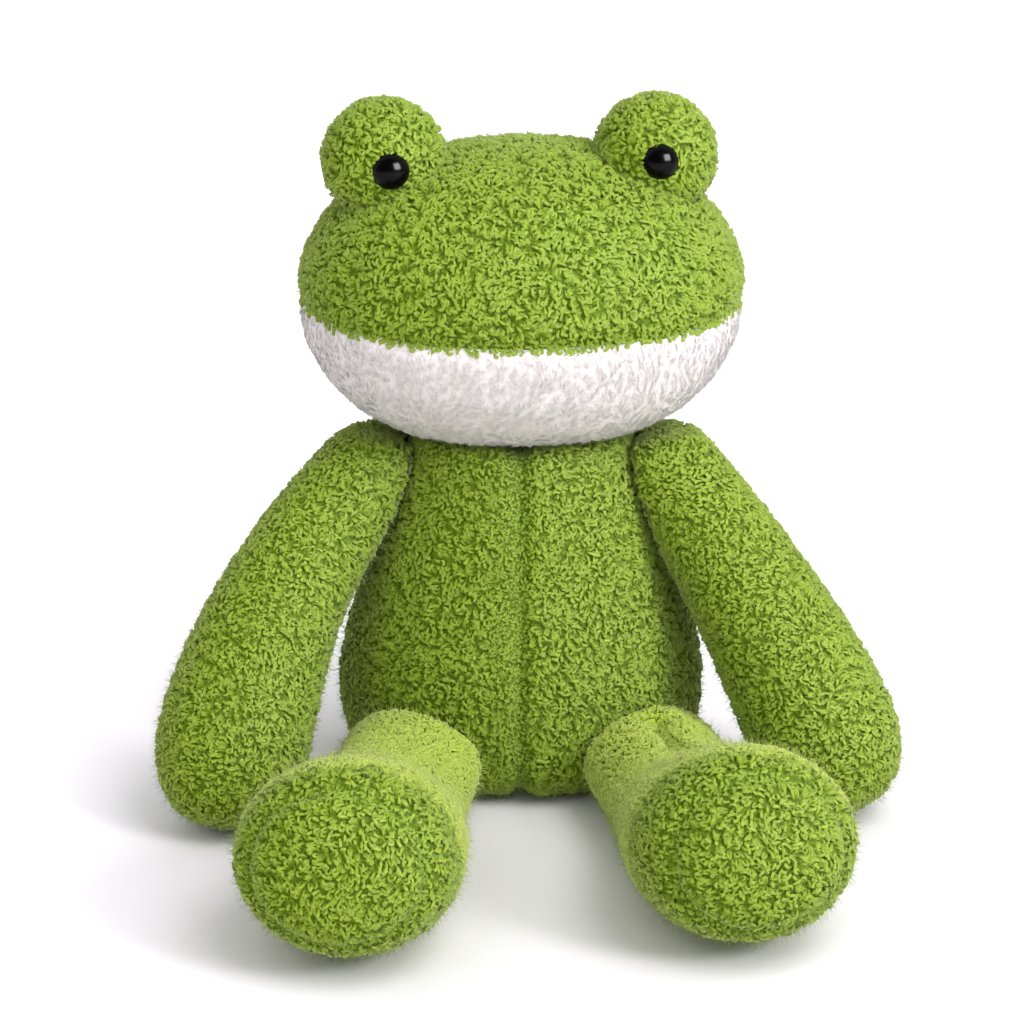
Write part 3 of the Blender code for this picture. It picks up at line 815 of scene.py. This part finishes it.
def yarn_material(name, along, tints, streak_share, roughness, sheen, sheen_tint):
    """Yarn coloured from root to tip, with painted shade in its darker roots, tinted loop by loop, with the streaks
    of its fibres.
    """
    material, tree, shader = node_material(name, roughness, YARN_SPECULAR)
    uv = tree.nodes.new("ShaderNodeUVMap")
    uv.uv_map = "OFBake"
    across, rise, _ = add_node(tree, "SeparateXYZ", {0: uv.outputs["UV"]}).outputs
    cell = math_node(tree, "FLOOR", math_node(tree, "MULTIPLY", across, TINTS))
    tint = ramp(tree, math_node(tree, "DIVIDE", cell, TINTS), list(zip((0.0, 1.0), tints)))
    colour = multiplied(tree, ramp(tree, rise, along), tint)
    stretched = {
        0: math_node(tree, "MULTIPLY", across, TINTS * STREAKS_ACROSS),
        1: math_node(tree, "MULTIPLY", rise, STREAKS_ALONG),
    }
    place = add_node(tree, "CombineXYZ", stretched).outputs[0]
    streaks = add_node(tree, "TexNoise", {"Scale": 1.0, "Detail": STREAK_DETAIL, "Vector": place}).outputs["Fac"]
    dark, light = 1 - streak_share, 1 + streak_share
    colour = multiplied(tree, colour, ramp(tree, streaks, [(0.3, (dark,) * 3), (0.7, (light,) * 3)]))
    bump = add_node(tree, "Bump", YARN_BUMP | {"Height": streaks})
    feed(tree, shader.inputs["Base Color"], colour)
    feed(tree, shader.inputs["Normal"], bump.outputs["Normal"])
    feed(tree, shader.inputs["Sheen Weight"], sheen)
    feed(tree, shader.inputs["Sheen Roughness"], SHEEN_ROUGHNESS)
    feed(tree, shader.inputs["Sheen Tint"], sheen_tint)
    return material


def backing_material(name, dark, light, relief):
    """Backing fabric with the feet of the loops on it, seen only in the gaps of the pile, with painted shade darker
    between the feet.
    """
    material, tree, shader = node_material(name, 0.9, 0.2)
    inputs = {"Scale": LOOP_FEET_SCALE, "Vector": coordinates(tree, "Object")}
    feet = add_node(tree, "TexVoronoi", inputs).outputs["Distance"]
    bump = add_node(tree, "Bump", {"Strength": 1.0, "Distance": relief, "Height": feet})
    bump.invert = True
    # Painted shade: darker between the feet of the loops
    feed(tree, shader.inputs["Base Color"], ramp(tree, feet, [(0.15, light), (0.65, dark)]))
    feed(tree, shader.inputs["Normal"], bump.outputs["Normal"])
    return material


def grain(tree, scale):
    inputs = {"Scale": scale, "Vector": coordinates(tree, "Object")}
    return add_node(tree, "TexNoise", inputs).outputs["Fac"]


def bead_material():
    material, tree, shader = node_material("eye_black_gloss", BEAD_ROUGHNESS[0], 0.09)
    gloss = map_range(tree, grain(tree, BEAD_GRAIN), (0, 1), BEAD_ROUGHNESS)
    feed(tree, shader.inputs["Roughness"], gloss)
    feed(tree, shader.inputs["Base Color"], (0.001, 0.001, 0.0012))
    return material


def washer_material():
    material, tree, shader = node_material("washer_moulded", 0.5)
    stops = [(0.3, (0.70, 0.70, 0.67)), (0.7, (0.78, 0.78, 0.75))]
    feed(tree, shader.inputs["Base Color"], ramp(tree, grain(tree, WASHER_GRAIN), stops))
    return material


materials = {name: yarn_material(name, *row) for name, row in YARNS.items()}
materials |= {name: backing_material(name, *row) for name, row in BACKINGS.items()}
materials |= {"eye_black": bead_material(), "washer": washer_material()}


# Covers


BODY_SEAM = ("body_panel_left", "body_panel_right")
MOUTH_SEAM = ("head_crown", "head_muzzle")
TRUNK_FILL, DOME_FILL, LIMB_FILL = 0.8, 0.9, 0.7


def dress(skin, body, fill, *nodes):
    """Gives a form its backing, its body and the nodes that it stands for."""
    skin.obj.data.materials.clear()
    skin.obj.data.materials.append(materials["green_backing_painted_shade"])
    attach(skin.obj, body)
    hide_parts(*nodes)
    skin.tree = BVHTree.FromPolygons(skin.points.tolist(), skin.triangles.tolist())


head = stuffed_skin("head_form", MOUTH_SEAM, ("head_stuffing",), MOUTH_SEAM, MOUTH_SEAM_DEPTH)
dress(head, "head", TRUNK_FILL, "head_crown", "head_muzzle", "head_stuffing")
body = stuffed_skin(
    "body_form", (*BODY_SEAM, "seat_panel"), ("body_stuffing", "seat_pouch"), BODY_SEAM, FRONT_SEAM_DEPTH
)
dress(body, "body", TRUNK_FILL, "body_panel_left", "body_panel_right", "seat_panel", "body_stuffing", "seat_pouch")
domes, arms, legs, sole_seams = {}, {}, {}, {}
for side in SIDES:
    dome, dome_filling = "eye_dome_" + side, "eye_dome_stuffing_" + side
    domes[side] = dome_skin("eye_dome_form_" + side, dome)
    dress(domes[side], "head", DOME_FILL, dome, dome_filling)
    arm, arm_filling = "arm_cover_" + side, "arm_stuffing_" + side
    arms[side] = stuffed_skin("arm_form_" + side, (arm,), (arm_filling,))
    dress(arms[side], "arm_" + side, LIMB_FILL, arm, arm_filling)
    leg, sole, leg_filling = "leg_cover_" + side, "sole_panel_" + side, "leg_stuffing_" + side
    sole_seams[side] = (leg, sole)
    legs[side] = stuffed_skin(
        "leg_form_" + side, (leg, sole), (leg_filling,), sole_seams[side], SOLE_SEAM_DEPTH, FOLDS[side]
    )
    dress(legs[side], "leg_" + side, LIMB_FILL, leg, sole, leg_filling)


# Safety eyes


BEAD_TURNS = 72
BEAD_STEPS = 24
BEAD_CREASE = math.radians(40)
RIM_SHARE = 0.98
RIM_HEIGHT = 0.0008
RIM_BEVEL = 0.0003
RIM_BEVEL_HEIGHT = 0.0002
SHANK_START = 0.001


def bead_axis(side):
    """The way a bead points: out from the middle of its dome."""
    low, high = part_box("eye_bead_" + side)
    return unit(np.array((low + high) / 2) - domes[side].centre)


def add_bead(side):
    """A glossy dome with its rim and shank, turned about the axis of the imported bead. It gives its radius."""
    node = "eye_bead_" + side
    axis, centre = bead_axis(side), domes[side].centre
    points = np.array([tuple(vertex.co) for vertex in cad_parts[node].data.vertices]) - centre
    along = points @ axis
    across = np.linalg.norm(points - along[:, None] * axis, axis=1)
    radius, tip, tail = across.max(), along.max(), along.min()
    back = along[across > radius * RIM_SHARE].min()
    shank = across[along < back - SHANK_START].max()
    rim = back + RIM_HEIGHT
    profile = []
    for step in range(1, BEAD_STEPS + 1):
        angle = math.pi / 2 * step / BEAD_STEPS
        profile.append((radius * math.sin(angle), rim + (tip - rim) * math.cos(angle)))
    profile += [(radius, back + RIM_BEVEL_HEIGHT), (radius - RIM_BEVEL, back), (shank, back), (shank, tail)]
    bm = bmesh.new()
    outward = Vector(axis).to_track_quat("Z", "Y").to_matrix()

    def vertex_at(distance, angle, height):
        local = Vector((distance * math.cos(angle), distance * math.sin(angle), height))
        return bm.verts.new(outward @ local + Vector(centre))

    angles = [2 * math.pi * turn / BEAD_TURNS for turn in range(BEAD_TURNS)]
    rings = [[vertex_at(distance, angle, height) for angle in angles] for distance, height in profile]
    top, end = vertex_at(0, 0, tip), vertex_at(0, 0, tail)
    for turn in range(BEAD_TURNS):
        after = (turn + 1) % BEAD_TURNS
        bm.faces.new((top, rings[0][turn], rings[0][after]))
        bm.faces.new((end, rings[-1][after], rings[-1][turn]))
        for first, second in zip(rings, rings[1:]):
            bm.faces.new((first[turn], second[turn], second[after], first[after]))
    bmesh.ops.recalc_face_normals(bm, faces=bm.faces)
    mesh = bpy.data.meshes.new("bead_" + side)
    bm.to_mesh(mesh)
    bm.free()
    mesh.shade_smooth()
    mesh.set_sharp_from_angle(angle=BEAD_CREASE)
    obj = bpy.data.objects.new("bead_" + side, mesh)
    bpy.context.scene.collection.objects.link(obj)
    obj.data.materials.append(materials["eye_black"])
    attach(obj, "head")
    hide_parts(node)
    return radius


bead_radius = {side: add_bead(side) for side in SIDES}
for side in SIDES:
    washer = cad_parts["eye_washer_" + side]
    washer.data.materials.clear()
    washer.data.materials.append(materials["washer"])


# Green pile


seam_trees = {node: tree_of(node) for pair in (MOUTH_SEAM, BODY_SEAM, *sole_seams.values()) for node in pair}


def seam_offset(roots, normals, seam):
    """How far each root lies past the seam between two packed covers, on the second one's side."""
    outer = roots + normals * PILE_DEPTH
    return distances(seam_trees[seam[0]], outer) - distances(seam_trees[seam[1]], outer)


def green_pile(
    skin, body_name, name, hidden_by, size, keep=None, kind="green_pile", seam=None, pull=None, trim=None, shade=0.0
):
    """Green pile on a region of a skin, but not where it is hidden in other skins."""
    rng = np.random.default_rng(SEEDS[name])
    roots, normals = scatter(skin, LOOP_SPACING * size, rng)
    hidden = np.zeros(len(roots), dtype=bool)
    for other, depth in hidden_by:
        hidden |= inside_of(other.tree, roots, depth)
    if keep is not None:
        hidden |= ~keep(roots, normals)
    roots, normals = roots[~hidden], normals[~hidden]
    way, out = clumps(skin, roots, rng, CLUMP_SPACING)
    short = CLUMP_TOP - CLUMP_SHORT * out**2
    # Painted shade: darker regions and the loops at the edges of clumps
    painted_shade = shade + PAINTED_CLUMP_SHADE * out**2
    if seam is not None:
        away = np.abs(seam_offset(roots, normals, seam))
        short *= 1 - falloff(away, *SEAM_SHORT)
        # Painted shade in the seam
        painted_shade += falloff(away, *PAINTED_SEAM_SHADE)
    for line in skin.folds:
        # Painted shade in the folds
        painted_shade += falloff(line_distances(line, roots), *PAINTED_FOLD_SHADE)
    if trim is not None:
        short = short * trim(roots, normals)
    leaning = way * out[:, None] * CLUMP_PULL
    if pull is not None:
        leaning = leaning + pull(roots, normals)
    add_green_pile(name, body_name, roots, normals, rng, size, kind, short, leaning, painted_shade)
    fibres = FIBRES_PER_NAP_ROOT if kind == "green_nap_painted_light" else FIBRES_PER_ROOT
    chosen = rng.random(len(roots)) < fibres * min(1.0, size**2)
    add_fibres(name, body_name, roots[chosen], normals[chosen], rng, kind)


def on_the_crown(roots, normals):
    """Whether a root lies above the mouth seam and the neck."""
    above = roots[:, 2] > neck + CROWN_PAST_NECK
    return (seam_offset(roots, normals, MOUTH_SEAM) < GREEN_PAST_MOUTH) & above


def over_the_mouth(roots, normals):
    """A downward pull on the loops nearest the mouth seam, which hang a little over it."""
    return DOWN * falloff(seam_offset(roots, normals, MOUTH_SEAM), *MOUTH_PULL)[:, None]


def trimmed_at_the_mouth(roots, normals):
    """Shorter loops near the mouth seam."""
    return 1 - falloff(seam_offset(roots, normals, MOUTH_SEAM), *MOUTH_SHORT)


def around_bead(side, roots):
    """Each root's place along a bead's axis and the way to it from the axis."""
    away = roots - domes[side].centre
    along = away @ bead_axis(side)
    return along, away - along[:, None] * bead_axis(side)


def clear_of_bead(side):
    def keep(roots, normals):
        along, across = around_bead(side, roots)
        return (along < 0) | (np.linalg.norm(across, axis=1) > bead_radius[side] - PILE_UNDER_RIM)
    return keep


def over_the_rim(side):
    """A pull on the loops round an eye, which lean a little over its rim."""
    def pull(roots, normals):
        along, across = around_bead(side, roots)
        strength = falloff(np.linalg.norm(across, axis=1) - bead_radius[side], *RIM_PULL) * (along > 0)
        return -unit(across) * strength[:, None]
    return pull


def on_the_thigh(side, inside):
    """Whether a root lies behind the foot, or else on it, with a ragged border."""
    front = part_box("sole_panel_" + side)[1].y + THIGH_START

    def keep(roots, normals):
        border = front + THIGH_WAVE * rough(roots, *THIGH_BORDER)
        return (roots[:, 1] > border) == inside
    return keep


def in_the_band(inside):
    """Whether a root lies in the finer band along the front seam, or else outside it, with a ragged border."""
    def keep(roots, normals):
        width = BAND_WIDTH * (1 + BAND_WAVE * rough(roots, *BAND_BORDER))
        banded = (roots[:, 0] < 0) & (roots[:, 0] > -width) & (normals[:, 1] < BAND_FACING)
        return banded == inside
    return keep


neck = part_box("head_crown")[0].z
crown_hidden_by = [(domes["left"], HIDDEN_DEPTH), (domes["right"], HIDDEN_DEPTH), (body, CROWN_IN_BODY)]
# The crown takes painted shade that darkens it more than the rest
green_pile(
    head, "head", "crown", crown_hidden_by, CROWN_SIZE, on_the_crown, pull=over_the_mouth, trim=trimmed_at_the_mouth,
    shade=CROWN_PAINTED_SHADE
)
for side in SIDES:
    green_pile(
        domes[side], "head", "eye_dome_" + side, [(head, HIDDEN_DEPTH)], DOME_SIZE, clear_of_bead(side),
        pull=over_the_rim(side), shade=DOME_PAINTED_SHADE
    )
    in_body = [(body, HIDDEN_DEPTH)]
    green_pile(arms[side], "arm_" + side, "arm_" + side, in_body, ARM_SIZE)
    green_pile(
        legs[side], "leg_" + side, "foot_" + side, in_body, FOOT_SIZE, on_the_thigh(side, False),
        seam=sole_seams[side], shade=FOOT_PAINTED_SHADE
    )
    # The thighs take the paler nap: painted light on their tops
    green_pile(
        legs[side], "leg_" + side, "thigh_" + side, in_body, THIGH_SIZE, on_the_thigh(side, True), "green_nap_painted_light"
    )
in_head = [(head, BODY_IN_HEAD)]
green_pile(body, "body", "body", in_head, BODY_SIZE, in_the_band(False), seam=BODY_SEAM)
green_pile(body, "body", "band", in_head, BAND_SIZE, in_the_band(True), seam=BODY_SEAM)


# White panel


BACKING_RISE = 0.0003
BACKING_THICKNESS = 0.0004


def white_pile():
    """Strands in small tufts on the panel below the mouth seam."""
    rng = np.random.default_rng(SEEDS["muzzle"])
    roots, normals = scatter(head, STRAND_SPACING, rng)
    past = seam_offset(roots, normals, MOUTH_SEAM)
    kept = (past > WHITE_PAST_MOUTH) & (roots[:, 2] > neck + MUZZLE_PAST_NECK)
    roots, normals = roots[kept], normals[kept]
    count = len(roots)
    normals = unit(normals + swirl(roots, *TUFT_RELIEF) * TUFT_HEIGHT)
    way, out = clumps(head, roots, rng, TUFT_SPACING)
    tangent = DOWN * STRAND_DOWN + swirl(roots, *TUFT_LEAN) * STRAND_SWIRL
    tangent = tangent + rng.normal(size=roots.shape) * STRAND_CHANCE + way * out[:, None] * TUFT_PULL
    tangent = unit(tangential(tangent, normals))
    angle = between(rng, count, STRAND_ANGLES)[:, None]
    leans = normals * np.cos(angle) + tangent * np.sin(angle)
    flats = unit(np.cross(leans, normals))
    lengths = STRAND_LENGTH * between(rng, count, STRAND_LENGTHS) * (TUFT_TOP - TUFT_SHORT * out**2)
    widths = STRAND_WIDTH * between(rng, count, STRAND_WIDTHS)
    droops = tangent * STRAND_DROOP - normals * STRAND_SINK
    # Painted shade on strands at the edges of tufts
    shade = WHITE_SHADE + WHITE_WAVE * rough(roots, *TUFT_SHADES) - PAINTED_TUFT_SHADE * out**2
    cells = tint_cells(shade + WHITE_CHANCE * rng.normal(size=count))
    order = np.argsort(roots[:, 0], kind="stable")
    for number, part in enumerate(np.array_split(order, math.ceil(count / STRANDS_PER_PIECE)), start=1):
        made = strands(
            roots[part], normals[part], leans[part], flats[part], lengths[part], widths[part], droops[part],
            cells[part], STRAND_PROFILE, STRAND_FLATNESS
        )
        add_piece(f"muzzle_pile_{number}", made, "white_pile", "head")


def muzzle_backing():
    """The white panel's backing: the part of the head's form past the mouth seam, as a thin sheet over it."""
    white = seam_offset(head.points, head.normals, MOUTH_SEAM) > 0
    faces = head.triangles[white[head.triangles].all(axis=1)]
    used = np.unique(faces)
    place = np.full(len(head.points), -1)
    place[used] = np.arange(len(used))
    obj = mesh_object("muzzle_backing", head.points[used] + head.normals[used] * BACKING_RISE, place[faces])
    sheet = obj.modifiers.new("sheet", "SOLIDIFY")
    sheet.thickness = BACKING_THICKNESS
    obj.data.materials.append(materials["white_backing"])
    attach(obj, "head")


muzzle_backing()
white_pile()


# Studio


WHITE = (1, 1, 1)
FLOOR_SIZE = 6
FLOOR_COLOUR = (0.86, 0.835, 0.88)
GLOW_MIDDLE = (0, 0.10, 0)
GLOW_REACH, GLOW_STRENGTH = (0.12, 0.32), (0.0, 0.60)
FILL_HEIGHTS, FILL_STRENGTH = (-0.3, 1.0), (0.34, 0.80)
BEHIND_DEPTHS, BEHIND_STRENGTH = (-0.4, 0.0), (0.12, 1.0)

# Place, target, size, power, whether the lamp lights what has no gloss, and whether it is reflected
LAMPS = {
    "key": ((0.75, -1.00, 1.80), (0, 0, 0.12), 1.1, 20, True, False),
    "catch": ((1.50, -1.40, 1.15), (0, 0, 0.20), 0.6, 25, True, False),
    "gleam": ((1.35, -1.55, 1.15), (0, 0, 0.20), 1.2, 215, False, True),
    "front": ((-0.3, -2.3, 0.8), (0, 0, 0.12), 2.4, 19, True, False),
}


def ray_kinds(tree):
    """Whether a ray comes from the camera, and whether it is one that shows what it meets."""
    path = tree.nodes.new("ShaderNodeLightPath").outputs
    shown = math_node(tree, "MAXIMUM", path["Is Camera Ray"], path["Is Glossy Ray"])
    return path["Is Camera Ray"], math_node(tree, "MAXIMUM", shown, path["Is Transmission Ray"])


def add_floor():
    """A white floor that looks brighter away from the frog, without lighting it."""
    bm = bmesh.new()
    bmesh.ops.create_grid(bm, x_segments=1, y_segments=1, size=FLOOR_SIZE)
    mesh = bpy.data.meshes.new("floor")
    bm.to_mesh(mesh)
    bm.free()
    floor = bpy.data.objects.new("floor", mesh)
    bpy.context.scene.collection.objects.link(floor)
    material, tree, shader = node_material("floor_white", 0.9, 0.1)
    feed(tree, shader.inputs["Base Color"], FLOOR_COLOUR)
    ahead = add_node(tree, "VectorMath", {0: coordinates(tree, "Object"), 1: GLOW_MIDDLE})
    away = add_node(tree, "VectorMath", {0: ahead.outputs["Vector"]})
    away.operation = "LENGTH"
    rise = map_range(tree, away.outputs["Value"], GLOW_REACH, GLOW_STRENGTH)
    glow = add_node(tree, "Emission", {"Color": WHITE, "Strength": rise})
    dark = add_node(tree, "Emission", {"Strength": 0})
    _, shown = ray_kinds(tree)
    choose = add_node(tree, "MixShader", {0: shown, 1: dark.outputs[0], 2: glow.outputs[0]})
    total = add_node(tree, "AddShader", {0: shader.outputs[0], 1: choose.outputs[0]})
    tree.links.new(total.outputs[0], tree.nodes["Material Output"].inputs["Surface"])
    floor.data.materials.append(material)


def add_world():
    """A sky that lights more from above, and that shows as a white room, darker in reflections from behind."""
    world = bpy.data.worlds.new("studio")
    bpy.context.scene.world = world
    world.use_nodes = True
    tree = world.node_tree
    _, depth, height = add_node(tree, "SeparateXYZ", {0: coordinates(tree, "Generated")}).outputs
    fill = tree.nodes["Background"]
    feed(tree, fill.inputs["Color"], WHITE)
    feed(tree, fill.inputs["Strength"], map_range(tree, height, FILL_HEIGHTS, FILL_STRENGTH))
    from_camera, shown = ray_kinds(tree)
    strength = math_node(tree, "MAXIMUM", map_range(tree, depth, BEHIND_DEPTHS, BEHIND_STRENGTH), from_camera)
    white = add_node(tree, "Background", {"Color": WHITE, "Strength": strength})
    choose = add_node(tree, "MixShader", {0: shown, 1: fill.outputs[0], 2: white.outputs[0]})
    tree.links.new(choose.outputs[0], tree.nodes["World Output"].inputs["Surface"])


def add_area_light(name, place, target, size, power, lights, reflected):
    light = bpy.data.lights.new(name, "AREA")
    light.shape = "SQUARE"
    light.size = size
    light.energy = power
    obj = bpy.data.objects.new(name, light)
    obj.location = place
    obj.rotation_euler = (Vector(target) - Vector(place)).to_track_quat("-Z", "Y").to_euler()
    obj.visible_diffuse = lights
    obj.visible_glossy = reflected
    bpy.context.scene.collection.objects.link(obj)


add_floor()
add_world()
for name, lamp in LAMPS.items():
    add_area_light(name, *lamp)


# Camera


ELEVATION = math.radians(17)
DISTANCE = 1.5
PIXEL = 0.00037
FRAME_PIXELS = 1024
AIM_RIGHT = -0.0033
AIM_UP = 0.0912
SENSOR = 36

camera_data = bpy.data.cameras.new("camera")
camera_data.sensor_width = SENSOR
camera_data.lens = SENSOR / (FRAME_PIXELS * PIXEL / DISTANCE)
camera = bpy.data.objects.new("camera", camera_data)
bpy.context.scene.collection.objects.link(camera)
back = Vector((0, -math.cos(ELEVATION), math.sin(ELEVATION)))
up = Vector((0, math.sin(ELEVATION), math.cos(ELEVATION)))
camera.location = Vector((AIM_RIGHT, 0, 0)) + up * AIM_UP + back * DISTANCE
camera.rotation_euler = (math.pi / 2 - ELEVATION, 0, 0)
bpy.context.scene.camera = camera
bpy.context.scene.view_settings.view_transform = "Standard"
